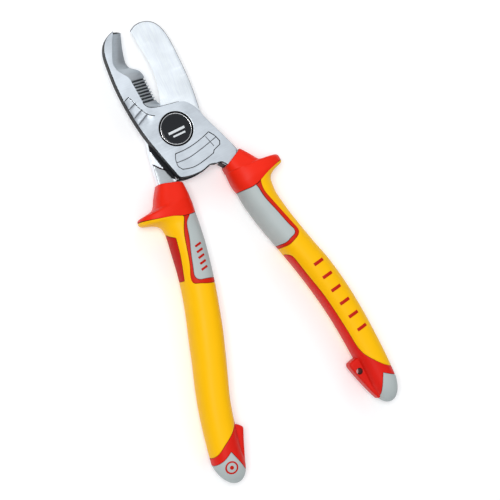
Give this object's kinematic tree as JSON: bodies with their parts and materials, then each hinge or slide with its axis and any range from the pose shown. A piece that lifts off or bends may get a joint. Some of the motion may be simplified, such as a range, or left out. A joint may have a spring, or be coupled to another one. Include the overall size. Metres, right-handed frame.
{
  "type": "cable cutter",
  "caption": "Hand cable cutter with a hooked anvil jaw and a curved blade crossing at a bolt pivot, and insulated multi-zone grips with finger guards.",
  "frame": {"origin": "pivot axis where it crosses the shear plane between the two halves", "axes": "+Y along the tool to the jaws, +X to the blade jaw's side, +Z out of the face with the bolt head"},
  "size_m": [0.0942, 0.2063, 0.0195],
  "materials": {
    "forged_steel": "satin, fine ground",
    "bolt_chrome": "polished",
    "nut_steel": "machined",
    "cap_black": "gloss",
    "mark_pale": "print",
    "grip_yellow": "satin, fine grain",
    "grip_red": "satin, fine grain",
    "inlay_red": "satin, fine grain",
    "grip_grey": "satin, fine grain",
    "mark_red": "satin"
  },
  "bodies": {
    "hook_body": {"hook_half": "forged_steel", "pivot_bolt": "bolt_chrome", "pivot_cap": "cap_black", "pivot_cap_mark": "mark_pale", "pivot_nut": "nut_steel", "hook_grip_core": "grip_yellow", "hook_collar": "grip_red", "hook_inlay_frame": "grip_red", "hook_inner_inlay": "grip_grey", "hook_outer_inlay": "inlay_red", "hook_heel": "grip_red", "hook_tip_cap": "grip_grey", "hook_face_bars": "mark_red", "hook_rating_ticks": "mark_red"},
    "blade_body": {"blade_half": "forged_steel", "blade_grip_core": "grip_yellow", "blade_collar": "grip_red", "blade_inlay_frame": "grip_red", "blade_inner_inlay": "grip_grey", "blade_outer_inlay": "inlay_red", "blade_heel": "grip_red", "blade_tip_cap": "grip_grey", "blade_tip_mark": "mark_red", "blade_rating_ticks": "mark_red"}
  },
  "joints": [
    {"name": "pivot", "type": "hinge", "parent": "hook_body", "child": "blade_body", "pos_m": [0, 0, 0], "axis": [0, 0, 1], "range_deg": [-20, 16]}
  ]
}
